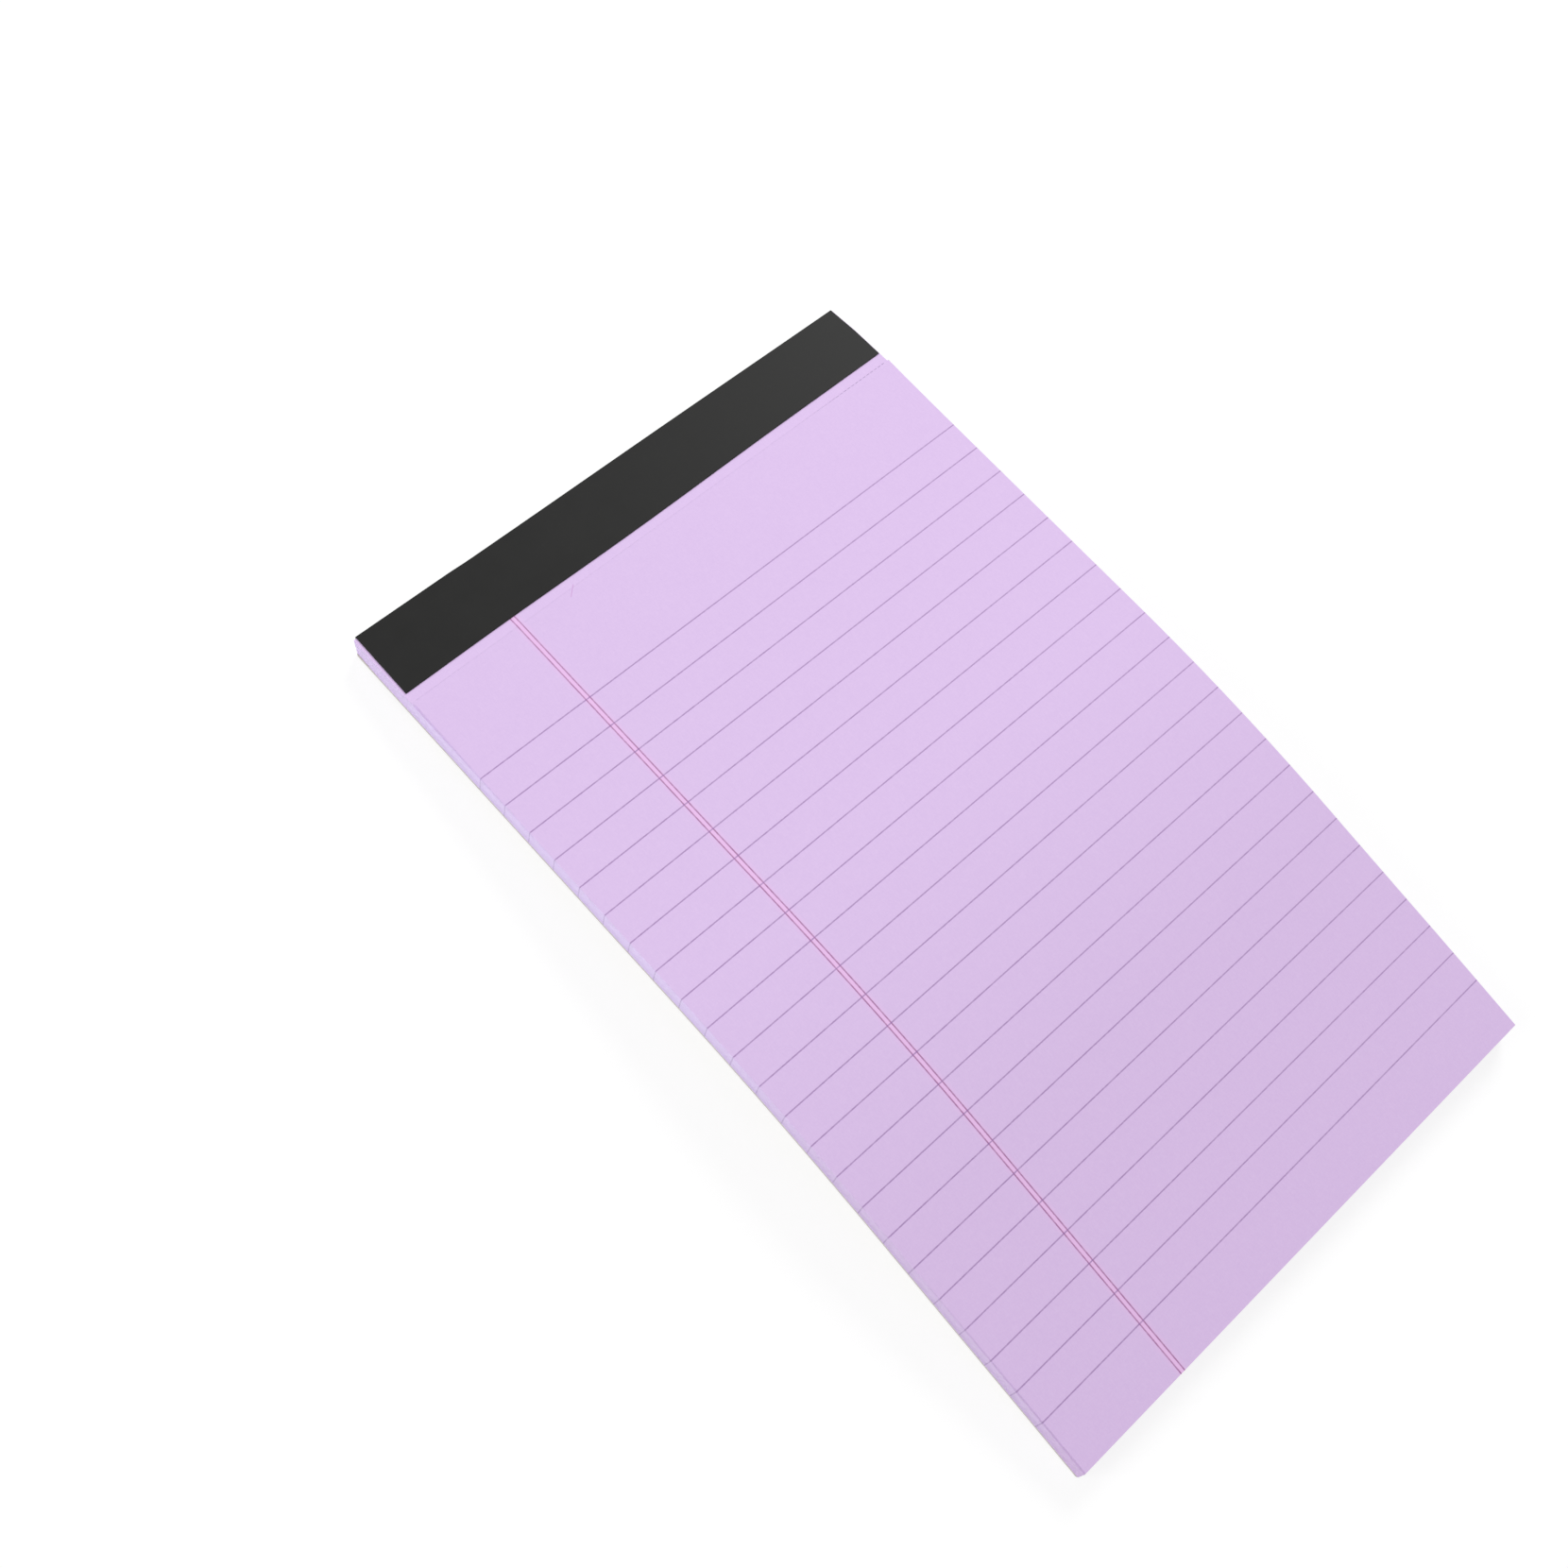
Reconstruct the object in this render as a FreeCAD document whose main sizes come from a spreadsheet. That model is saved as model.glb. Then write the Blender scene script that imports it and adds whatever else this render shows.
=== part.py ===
"""A junior legal pad: ruled sheets on a board, stitched and taped at the head, with a bow.

Every piece is drawn with the pad's head run level: X across the pad, Y from the foot to the head,
whose front edge is at Y 0, and Z up from the front sheet. Each sheet is the same curve, dropped
straight down. The pieces are then leaned together, so that the pad stands on its two ends.
"""
import FreeCAD, Part
import math
import os

import Sketcher
from FreeCAD import Vector

# Driving sizes, in millimetres and degrees
SIZES = [
    ("pad_width", 127.0, "sheet and board, side to side"),
    ("pad_length", 203.2, "sheet and board, head to foot along the bow"),
    ("foot_run", 53.5, "straight stretch at the foot"),
    ("bend_radius", 370.0, "bow between the head run and the foot run"),
    ("bend_angle", 9.2, "how far the foot run turns down from the head run"),
    ("pages_depth", 4.8, "the ruled sheets together"),
    ("board_depth", 0.8, "chipboard backing"),
    ("stub_length", 16.6, "head edge to the perforation"),
    ("stub_dip", 0.7, "how much thinner the stub is pressed at the head edge"),
    ("slit_length", 1.1, "one cut of the perforation"),
    ("slit_width", 0.2, "one cut of the perforation"),
    ("slit_depth", 0.5, "how deep the cuts show open"),
    ("slit_pitch", 1.7, "from one cut to the next"),
    ("tape_thickness", 0.2, "binding tape"),
    ("tape_front", 14.5, "tape on the front of the pad"),
    ("tape_back", 14.5, "tape on the back of the pad"),
    ("tape_inset", 0.4, "tape end to the side of the pad"),
    ("fold_radius", 0.3, "outside of the tape's folds"),
    ("wire_diameter", 0.5, "staple wire"),
    ("wire_clearance", 0.05, "between the wire and the hole it has made"),
    ("staple_crown", 12.0, "between the middles of a staple's legs"),
    ("staple_clinch", 4.2, "from a leg's middle to the end of its clinch"),
    ("staple_setback", 7.0, "head edge to the staples"),
    ("staple_spacing", 64.0, "between the middles of the staples"),
]

# Sizes that follow from the driving ones, as expressions on the sheet of sizes
PAD_DEPTH = "(Sizes.pages_depth + Sizes.board_depth)"
BEND_LENGTH = "(Sizes.bend_radius * Sizes.bend_angle * pi / 180)"
HEAD_RUN = f"(Sizes.pad_length - Sizes.foot_run - {BEND_LENGTH})"
STUB_DROP = "(Sizes.stub_dip * (1 - Sizes.staple_setback / Sizes.stub_length))"
WIRE_ROOM = "(Sizes.wire_diameter / 2 + Sizes.wire_clearance)"
CROWN_DEPTH = f"({STUB_DROP} + {WIRE_ROOM})"
CLINCH_DEPTH = f"({PAD_DEPTH} - {WIRE_ROOM})"
OUTER_LEG = "(Sizes.staple_spacing / 2 + Sizes.staple_crown / 2)"
SLIT_COUNT = "(floor((Sizes.pad_width - Sizes.slit_length) / Sizes.slit_pitch) + 1)"
SLIT_ROW = f"(({SLIT_COUNT} - 1) * Sizes.slit_pitch)"

START, END, CENTRE = 1, 2, 3
X_AXIS, Y_AXIS = -1, -2
ORIGIN = (X_AXIS, START)


def make_sizes(document):
    """Put the driving sizes in a sheet, one row each, and return it."""
    sheet = document.addObject("Spreadsheet::Sheet", "Sizes")
    for row, (alias, value, meaning) in enumerate(SIZES, start=1):
        sheet.set(f"A{row}", alias)
        sheet.set(f"B{row}", str(value))
        sheet.set(f"C{row}", meaning)
        sheet.setAlias(f"B{row}", alias)
    document.recompute()
    return sheet


def value_of(sheet, expression):
    """The number that an expression on the sheet stands for."""
    return float(sheet.evalExpression(expression.replace("Sizes.", "")))


def make_body(document, label):
    body = document.addObject("PartDesign::Body", label)
    body.Label = label
    return body


def sketch_on(body, role, name, offset=None):
    """A sketch on one of the body's own origin planes, raised from it by an expression."""
    plane = next(f for f in body.Origin.OriginFeatures if f.Role == role)
    sketch = body.newObject("Sketcher::SketchObject", name)
    sketch.AttachmentSupport = [(plane, "")]
    sketch.MapMode = "FlatFace"
    if offset:
        sketch.setExpression("AttachmentOffset.Base.z", offset)
    return sketch


def line(sketch, start, end):
    return sketch.addGeometry(Part.LineSegment(Vector(*start, 0), Vector(*end, 0)), False)


def arc(sketch, centre, radius, first_angle, last_angle):
    """An arc drawn anticlockwise between two angles in degrees."""
    circle = Part.Circle(Vector(*centre, 0), Vector(0, 0, 1), radius)
    angles = (math.radians(first_angle), math.radians(last_angle))
    return sketch.addGeometry(Part.ArcOfCircle(circle, *angles), False)


def rule(sketch, kind, *where):
    """A constraint with no size, such as Horizontal or Tangent."""
    return sketch.addConstraint(Sketcher.Constraint(kind, *where))


def dimension(sketch, kind, *where, size):
    """A constraint whose size is an expression on the sheet."""
    number = value_of(sketch.Document.Sizes, size)
    if kind == "Angle":
        number = math.radians(number)
    index = sketch.addConstraint(Sketcher.Constraint(kind, *where, number))
    sketch.setExpression(f"Constraints[{index}]", size)
    return index


def join(sketch, *ends):
    """Make the ends of a closed or open chain meet, given as pairs of (geometry, end)."""
    for first, second in ends:
        rule(sketch, "Coincident", *first, *second)


def smooth(sketch, *ends):
    """Make two ends meet with one direction."""
    for first, second in ends:
        rule(sketch, "Tangent", *first, *second)


def rectangle(sketch, centre_x, centre_y, width, height):
    """A rectangle about a centre, all four given as expressions. The centre is at X, -Y."""
    sheet = sketch.Document.Sizes
    middle = (value_of(sheet, centre_x), -value_of(sheet, centre_y))
    half = (value_of(sheet, width) / 2, value_of(sheet, height) / 2)
    corners = [
        (middle[0] + half[0] * across, middle[1] + half[1] * along)
        for across, along in ((-1, -1), (1, -1), (1, 1), (-1, 1))
    ]
    sides = [line(sketch, corners[i], corners[(i + 1) % 4]) for i in range(4)]
    for i, side in enumerate(sides):
        rule(sketch, "Coincident", side, END, sides[(i + 1) % 4], START)
        rule(sketch, ("Horizontal", "Vertical")[i % 2], side)
    dimension(sketch, "Distance", sides[0], size=width)
    dimension(sketch, "Distance", sides[1], size=height)
    right_edge = f"({centre_x}) + ({width}) / 2"
    place_point(sketch, sides[1], START, right_edge, f"-(({centre_y}) + ({height}) / 2)")


def place_point(sketch, geometry, end, across, up):
    """Fix a point by its two coordinates, whichever side of the origin it is on."""
    for kind, size in (("DistanceX", across), ("DistanceY", up)):
        dimension(sketch, kind, *ORIGIN, geometry, end, size=size)


def extrude(body, feature, sketch, name, length, **settings):
    """Pad or pocket a sketch by an expression."""
    solid = body.newObject(f"PartDesign::{feature}", name)
    solid.Profile = sketch
    solid.setExpression("Length", length)
    for setting, choice in settings.items():
        setattr(solid, setting, choice)
    return solid


def layer(body, above, below):
    """A bowed layer of the pad, between two depths under the front sheet."""
    sketch = sketch_on(body, "YZ_Plane", "section")
    sheet = body.Document.Sizes
    top, bottom = -value_of(sheet, above), -value_of(sheet, below)
    head_run = value_of(sheet, HEAD_RUN)
    foot_run, radius, angle = sheet.foot_run, sheet.bend_radius, sheet.bend_angle
    turn = math.radians(angle)

    def bow(level):
        """The end of the bend and the foot of the curve that starts at a level."""
        bend = (-head_run - radius * math.sin(turn), level - radius * (1 - math.cos(turn)))
        foot = (bend[0] - foot_run * math.cos(turn), bend[1] - foot_run * math.sin(turn))
        return bend, foot

    (front_bend_end, front_foot), (back_bend_end, back_foot) = bow(top), bow(bottom)
    front_run = line(sketch, (0, top), (-head_run, top))
    front_bend = arc(sketch, (-head_run, top - radius), radius, 90, 90 + angle)
    front_tail = line(sketch, front_bend_end, front_foot)
    foot_end = line(sketch, front_foot, back_foot)
    back_tail = line(sketch, back_foot, back_bend_end)
    back_bend = arc(sketch, (-head_run, bottom - radius), radius, 90, 90 + angle)
    back_run = line(sketch, (-head_run, bottom), (0, bottom))
    head_end = line(sketch, (0, bottom), (0, top))

    smooth(
        sketch,
        ((front_run, END), (front_bend, START)),
        ((front_bend, END), (front_tail, START)),
        ((back_tail, END), (back_bend, END)),
        ((back_bend, START), (back_run, START)),
    )
    join(
        sketch,
        ((front_tail, END), (foot_end, START)),
        ((foot_end, END), (back_tail, START)),
        ((back_run, END), (head_end, START)),
        ((head_end, END), (front_run, START)),
    )
    rule(sketch, "Horizontal", front_run)
    rule(sketch, "Horizontal", back_run)
    rule(sketch, "Vertical", foot_end)
    rule(sketch, "Parallel", front_tail, back_tail)
    rule(sketch, "Equal", front_bend, back_bend)
    rule(sketch, "Vertical", front_run, END, back_run, START)
    rule(sketch, "PointOnObject", head_end, START, Y_AXIS)
    rule(sketch, "PointOnObject", front_run, START, Y_AXIS)
    dimension(sketch, "Distance", front_run, size=HEAD_RUN)
    dimension(sketch, "Radius", front_bend, size="Sizes.bend_radius")
    dimension(sketch, "Angle", front_bend, size="Sizes.bend_angle")
    dimension(sketch, "Distance", front_tail, size="Sizes.foot_run")
    dimension(sketch, "DistanceY", *ORIGIN, front_run, START, size=f"-{above}")
    dimension(sketch, "DistanceY", *ORIGIN, back_run, END, size=f"-{below}")
    return extrude(body, "Pad", sketch, "layer", "Sizes.pad_width", SideType="Symmetric")


def press_stub(body):
    """Take the wedge off the front by which the stitched stub is thinner than the sheets."""
    sketch = sketch_on(body, "YZ_Plane", "stub_wedge")
    sheet = body.Document.Sizes
    head, low, crest = (0, 0), (0, -sheet.stub_dip), (-sheet.stub_length, 0)
    level = line(sketch, crest, head)
    end = line(sketch, head, low)
    slope = line(sketch, low, crest)
    join(
        sketch,
        ((level, END), (end, START)),
        ((end, END), (slope, START)),
        ((slope, END), (level, START)),
        ((level, END), ORIGIN),
    )
    rule(sketch, "Horizontal", level)
    rule(sketch, "Vertical", end)
    dimension(sketch, "Distance", level, size="Sizes.stub_length")
    dimension(sketch, "Distance", end, size="Sizes.stub_dip")
    extrude(body, "Pocket", sketch, "stub", "Sizes.pad_width", SideType="Symmetric")


def perforate(body):
    """A row of short cuts across the sheets, where the stub meets them."""
    sketch = sketch_on(body, "XY_Plane", "first_slit")
    first = f"-{SLIT_ROW} / 2"
    rectangle(sketch, first, "Sizes.stub_length", "Sizes.slit_length", "Sizes.slit_width")
    slit = extrude(body, "Pocket", sketch, "slit", "Sizes.slit_depth")
    row = body.newObject("PartDesign::LinearPattern", "perforation")
    row.Originals = [slit]
    row.Direction = (sketch, ["H_Axis"])
    row.setExpression("Length", SLIT_ROW)
    row.setExpression("Occurrences", SLIT_COUNT)
    body.Tip = row


def staple_legs(body, depth):
    """Round holes for the legs of both staples, down to a depth under the front sheet."""
    sketch = sketch_on(body, "XY_Plane", "leg_holes")
    sheet = body.Document.Sizes
    inner_leg = "(Sizes.staple_spacing / 2 - Sizes.staple_crown / 2)"
    for across in (f"-{OUTER_LEG}", f"-{inner_leg}", inner_leg, OUTER_LEG):
        centre = Vector(value_of(sheet, across), -sheet.staple_setback, 0)
        circle = Part.Circle(centre, Vector(0, 0, 1), value_of(sheet, WIRE_ROOM))
        hole = sketch.addGeometry(circle, False)
        place_point(sketch, hole, CENTRE, across, "-Sizes.staple_setback")
        dimension(sketch, "Radius", hole, size=WIRE_ROOM)
    extrude(body, "Pocket", sketch, "legs", depth)


def seat_crowns(body):
    """Grooves in the stub's front that the staples' crowns are pressed into."""
    sketch = sketch_on(body, "XY_Plane", "crown_grooves")
    for middle in ("-Sizes.staple_spacing / 2", "Sizes.staple_spacing / 2"):
        length = f"(Sizes.staple_crown + 2 * {WIRE_ROOM})"
        rectangle(sketch, middle, "Sizes.staple_setback", length, f"2 * {WIRE_ROOM}")
    extrude(body, "Pocket", sketch, "crowns", f"({CROWN_DEPTH} + {WIRE_ROOM})")


def seat_clinches(body):
    """Grooves in the board's back that the staples' clinches are pressed into."""
    sketch = sketch_on(body, "XY_Plane", "clinch_grooves", offset=f"-{PAD_DEPTH}")
    length = f"(Sizes.staple_clinch + 2 * {WIRE_ROOM})"
    outer = f"({OUTER_LEG} - Sizes.staple_clinch / 2)"
    inner = f"({OUTER_LEG} - Sizes.staple_crown + Sizes.staple_clinch / 2)"
    for middle in (f"-{outer}", f"-{inner}", inner, outer):
        rectangle(sketch, middle, "Sizes.staple_setback", length, f"2 * {WIRE_ROOM}")
    extrude(body, "Pocket", sketch, "clinches", f"2 * {WIRE_ROOM}", Reversed=True)


def make_page_block(document):
    """The ruled sheets, as one block."""
    body = make_body(document, "page_block")
    layer(body, "0", "Sizes.pages_depth")
    press_stub(body)
    seat_crowns(body)
    staple_legs(body, PAD_DEPTH)
    perforate(body)
    return body


def make_backing_board(document):
    body = make_body(document, "backing_board")
    layer(body, "Sizes.pages_depth", PAD_DEPTH)
    staple_legs(body, PAD_DEPTH)
    seat_clinches(body)
    return body


def stub_slope(sheet):
    """How far the front of the pressed stub leans, in radians."""
    return math.atan2(sheet.stub_dip, sheet.stub_length)


def high_fold_centre(sheet):
    """The middle of the tape's fold at the front, a fold radius inside both its faces."""
    slope = stub_slope(sheet)
    across = sheet.tape_thickness - sheet.fold_radius
    front_gap = (sheet.tape_thickness - sheet.fold_radius) / math.cos(slope)
    return across, front_gap - sheet.stub_dip - across * math.tan(slope)


def make_binding_tape(document):
    """Tape folded over the head, flat on the stub in front and on the board behind."""
    body = make_body(document, "binding_tape")
    sketch = sketch_on(body, "YZ_Plane", "section")
    sheet = document.Sizes
    thickness, fold = sheet.tape_thickness, sheet.fold_radius
    depth, dip = value_of(sheet, PAD_DEPTH), sheet.stub_dip
    slope = stub_slope(sheet)
    along = (-math.cos(slope), math.sin(slope))
    proud = (math.sin(slope), math.cos(slope))
    inner_tip = (along[0] * sheet.tape_front, along[1] * sheet.tape_front - dip)
    outer_tip = (inner_tip[0] + proud[0] * thickness, inner_tip[1] + proud[1] * thickness)
    tape_back = -sheet.tape_back
    high_x, high_y = high_fold_centre(sheet)
    high_start = (high_x + fold * proud[0], high_y + fold * proud[1])

    stub = line(sketch, (0, -dip), (-sheet.stub_length, 0))
    sketch.toggleConstruction(stub)
    inner_front = line(sketch, inner_tip, (0, -dip))
    inner_head = line(sketch, (0, -dip), (0, -depth))
    inner_back = line(sketch, (0, -depth), (tape_back, -depth))
    back_tip = line(sketch, (tape_back, -depth), (tape_back, -depth - thickness))
    outer_back = line(sketch, (tape_back, -depth - thickness), (high_x, -depth - thickness))
    low_fold = arc(sketch, (high_x, -depth - thickness + fold), fold, 270, 360)
    outer_head = line(sketch, (thickness, -depth - thickness + fold), (thickness, high_y))
    high_fold = arc(sketch, (high_x, high_y), fold, 0, 90 - math.degrees(slope))
    outer_front = line(sketch, high_start, outer_tip)
    front_tip = line(sketch, outer_tip, inner_tip)

    join(
        sketch,
        ((inner_front, END), (inner_head, START)),
        ((inner_head, END), (inner_back, START)),
        ((inner_back, END), (back_tip, START)),
        ((back_tip, END), (outer_back, START)),
        ((outer_front, END), (front_tip, START)),
        ((front_tip, END), (inner_front, START)),
        ((stub, START), (inner_front, END)),
    )
    smooth(
        sketch,
        ((outer_back, END), (low_fold, START)),
        ((low_fold, END), (outer_head, START)),
        ((outer_head, END), (high_fold, START)),
        ((high_fold, END), (outer_front, START)),
    )
    rule(sketch, "PointOnObject", stub, START, Y_AXIS)
    rule(sketch, "PointOnObject", stub, END, X_AXIS)
    rule(sketch, "PointOnObject", inner_front, START, stub)
    rule(sketch, "Vertical", inner_head)
    rule(sketch, "Horizontal", inner_back)
    rule(sketch, "Vertical", back_tip)
    rule(sketch, "Horizontal", outer_back)
    rule(sketch, "Vertical", outer_head)
    rule(sketch, "Parallel", outer_front, inner_front)
    rule(sketch, "Perpendicular", front_tip, inner_front)
    rule(sketch, "Equal", low_fold, high_fold)
    dimension(sketch, "DistanceY", stub, START, *ORIGIN, size="Sizes.stub_dip")
    dimension(sketch, "DistanceX", stub, END, *ORIGIN, size="Sizes.stub_length")
    dimension(sketch, "DistanceY", inner_head, END, *ORIGIN, size=PAD_DEPTH)
    dimension(sketch, "Distance", inner_front, size="Sizes.tape_front")
    dimension(sketch, "Distance", inner_back, size="Sizes.tape_back")
    dimension(sketch, "Distance", back_tip, size="Sizes.tape_thickness")
    dimension(sketch, "Distance", front_tip, size="Sizes.tape_thickness")
    dimension(sketch, "DistanceX", *ORIGIN, outer_head, START, size="Sizes.tape_thickness")
    dimension(sketch, "Radius", low_fold, size="Sizes.fold_radius")
    width = "Sizes.pad_width - 2 * Sizes.tape_inset"
    extrude(body, "Pad", sketch, "tape", width, SideType="Symmetric")
    return body


def staple_path(body):
    """The middle of one staple's wire, seen from the head: clinch, leg, crown, leg, clinch."""
    sketch = sketch_on(body, "XZ_Plane", "path", offset="Sizes.staple_setback")
    sheet = body.Document.Sizes
    left = -value_of(sheet, OUTER_LEG)
    right = left + sheet.staple_crown
    crown_level = -value_of(sheet, CROWN_DEPTH)
    clinch_level = -value_of(sheet, CLINCH_DEPTH)
    bend = value_of(sheet, WIRE_ROOM)
    clinch = sheet.staple_clinch

    left_clinch = line(sketch, (left + clinch, clinch_level), (left + bend, clinch_level))
    low_left = arc(sketch, (left + bend, clinch_level + bend), bend, 180, 270)
    left_leg = line(sketch, (left, clinch_level + bend), (left, crown_level - bend))
    high_left = arc(sketch, (left + bend, crown_level - bend), bend, 90, 180)
    crown = line(sketch, (left + bend, crown_level), (right - bend, crown_level))
    high_right = arc(sketch, (right - bend, crown_level - bend), bend, 0, 90)
    right_leg = line(sketch, (right, crown_level - bend), (right, clinch_level + bend))
    low_right = arc(sketch, (right - bend, clinch_level + bend), bend, 270, 360)
    right_clinch = line(sketch, (right - bend, clinch_level), (right - clinch, clinch_level))

    smooth(
        sketch,
        ((left_clinch, END), (low_left, END)),
        ((low_left, START), (left_leg, START)),
        ((left_leg, END), (high_left, END)),
        ((high_left, START), (crown, START)),
        ((crown, END), (high_right, END)),
        ((high_right, START), (right_leg, START)),
        ((right_leg, END), (low_right, END)),
        ((low_right, START), (right_clinch, START)),
    )
    for level in (left_clinch, crown, right_clinch):
        rule(sketch, "Horizontal", level)
    for leg in (left_leg, right_leg):
        rule(sketch, "Vertical", leg)
    for corner in (high_left, high_right, low_right):
        rule(sketch, "Equal", low_left, corner)
    rule(sketch, "Horizontal", left_clinch, START, right_clinch, END)
    dimension(sketch, "Radius", low_left, size=WIRE_ROOM)
    dimension(sketch, "DistanceX", left_leg, START, *ORIGIN, size=OUTER_LEG)
    dimension(sketch, "DistanceX", left_leg, START, right_leg, START, size="Sizes.staple_crown")
    dimension(sketch, "DistanceY", crown, START, *ORIGIN, size=CROWN_DEPTH)
    dimension(sketch, "DistanceY", left_clinch, START, *ORIGIN, size=CLINCH_DEPTH)
    for leg, tip in (((left_leg, START), (left_clinch, START)), ((right_clinch, END), (right_leg, END))):
        dimension(sketch, "DistanceX", *leg, *tip, size="Sizes.staple_clinch")
    return sketch


def make_staples(document):
    """Two wire stitches through the stub, crowns in front and clinched behind."""
    body = make_body(document, "staples")
    body.AllowCompound = True
    path = staple_path(body)
    tip = f"-({OUTER_LEG} - Sizes.staple_clinch)"
    section = sketch_on(body, "YZ_Plane", "wire", offset=tip)
    sheet = document.Sizes
    centre = Vector(-sheet.staple_setback, -value_of(sheet, CLINCH_DEPTH), 0)
    circle = Part.Circle(centre, Vector(0, 0, 1), sheet.wire_diameter / 2)
    wire = section.addGeometry(circle, False)
    place_point(section, wire, CENTRE, "-Sizes.staple_setback", f"-{CLINCH_DEPTH}")
    dimension(section, "Diameter", wire, size="Sizes.wire_diameter")

    staple = body.newObject("PartDesign::AdditivePipe", "staple")
    staple.Profile = section
    staple.Spine = path
    pair = body.newObject("PartDesign::LinearPattern", "pair")
    pair.Originals = [staple]
    pair.Direction = (path, ["H_Axis"])
    pair.Occurrences = 2
    pair.setExpression("Length", "Sizes.staple_spacing")
    body.Tip = pair
    return body


def stand_on_ends(sheet, bodies):
    """Lean the pad until the tape's low fold and the board's foot touch the ground.

    The origin is on the ground, halfway between the far ends of the head and the foot.
    """
    depth = value_of(sheet, PAD_DEPTH)
    tape, fold = sheet.tape_thickness, sheet.fold_radius
    turn = math.radians(sheet.bend_angle)
    bent = sheet.bend_radius * math.sin(turn) + sheet.foot_run * math.cos(turn)
    drop = sheet.bend_radius * (1 - math.cos(turn)) + sheet.foot_run * math.sin(turn)
    foot = (-value_of(sheet, HEAD_RUN) - bent, -drop - depth)
    low_fold = (tape - fold, fold - tape - depth)
    run, fall = low_fold[0] - foot[0], low_fold[1] - foot[1]
    lean = math.atan2(fall, run) - math.asin(fold / math.hypot(run, fall))

    def leaned(point):
        across = point[0] * math.cos(lean) + point[1] * math.sin(lean)
        return across, point[1] * math.cos(lean) - point[0] * math.sin(lean)

    foot_far, foot_low = leaned(foot)
    head_far = leaned(high_fold_centre(sheet))[0] + fold
    place = FreeCAD.Placement()
    place.Rotation = FreeCAD.Rotation(Vector(1, 0, 0), -math.degrees(lean))
    place.Base = Vector(0, -(foot_far + head_far) / 2, -foot_low)
    for body in bodies:
        body.Placement = place


def check(document, bodies):
    """Stop if any object failed to build or any piece is not a valid solid."""
    for item in document.Objects:
        if {"Invalid", "Error"} & set(item.State):
            raise RuntimeError(f"{item.Label} did not build: {item.State}")
    for body in bodies:
        if body.Shape.isNull() or not body.Shape.isValid() or not body.Shape.Solids:
            raise RuntimeError(f"{body.Label} is not a valid solid")


def main():
    document = FreeCAD.newDocument("legal_pad")
    sheet = make_sizes(document)
    bodies = [
        make_page_block(document),
        make_backing_board(document),
        make_binding_tape(document),
        make_staples(document),
    ]
    stand_on_ends(sheet, bodies)
    document.recompute()
    check(document, bodies)
    os.makedirs("parts", exist_ok=True)
    for body in bodies:
        body.Shape.exportStep(f"parts/{body.Label}.step")
        print(body.Label, "solids", len(body.Shape.Solids), "volume", round(body.Shape.Volume, 3))


main()
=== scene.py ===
"""A junior legal pad, dressed for its picture: ruled lilac sheets on chipboard, taped at the head.

Each piece is made flat, with the head's edge at Y 0 and the foot towards -Y, and the front sheet's
face at Z 0. It is then bent along the pad's bow, and leaned so that the pad stands on its two ends.
"""

import math
import random

import bmesh
import bpy
from mathutils import Matrix, Vector


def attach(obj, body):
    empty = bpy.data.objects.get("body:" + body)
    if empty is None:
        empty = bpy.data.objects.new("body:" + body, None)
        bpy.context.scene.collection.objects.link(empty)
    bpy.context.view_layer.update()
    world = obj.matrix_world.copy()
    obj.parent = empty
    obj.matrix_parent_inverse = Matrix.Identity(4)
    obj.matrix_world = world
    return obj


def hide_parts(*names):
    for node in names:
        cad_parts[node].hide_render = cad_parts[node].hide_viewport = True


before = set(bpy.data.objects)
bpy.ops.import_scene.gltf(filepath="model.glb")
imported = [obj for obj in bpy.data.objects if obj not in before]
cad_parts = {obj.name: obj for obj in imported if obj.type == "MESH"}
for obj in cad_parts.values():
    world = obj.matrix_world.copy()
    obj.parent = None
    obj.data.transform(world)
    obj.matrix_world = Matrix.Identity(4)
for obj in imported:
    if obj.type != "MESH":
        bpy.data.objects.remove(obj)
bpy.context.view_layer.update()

MM = 0.001

# The pad's sizes, as in its solids
PAD_WIDTH = 127 * MM
PAD_LENGTH = 203.2 * MM
PAGES_DEPTH = 4.8 * MM
BOARD_DEPTH = 0.8 * MM
PAD_DEPTH = PAGES_DEPTH + BOARD_DEPTH
FOOT_RUN = 53.5 * MM
BEND_RADIUS = 370 * MM
BEND_ANGLE = math.radians(9.2)
BEND_LENGTH = BEND_RADIUS * BEND_ANGLE
HEAD_RUN = PAD_LENGTH - FOOT_RUN - BEND_LENGTH
STUB_LENGTH = 16.6 * MM
STUB_DIP = 0.7 * MM
STUB_SLOPE = math.atan2(STUB_DIP, STUB_LENGTH)
LEAN = math.radians(3.7112)
SEAT = Vector((0, 101.454 * MM, 5.78199 * MM))

# The tape, how far it lies to the right, and how finely it is divided
TAPE_THICKNESS = 0.2 * MM
TAPE_RUN = 14.5 * MM
TAPE_WIDTH = 126.2 * MM
TAPE_SHIFT = 0.22 * MM
TAPE_RIM = 0.04 * MM
FOLD_RADIUS = 0.3 * MM
FOLD_INSET = TAPE_THICKNESS - FOLD_RADIUS
TAPE_COLUMNS = 96
TAPE_ROWS = 12
WALL_ROWS = 4
FOLD_STEPS = 6

# Unit steps on the stub's sloping face: along it towards the foot, and off it
DOWN_STUB = Vector((0, -math.cos(STUB_SLOPE), math.sin(STUB_SLOPE)))
OFF_STUB = Vector((0, math.sin(STUB_SLOPE), math.cos(STUB_SLOPE)))

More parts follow.
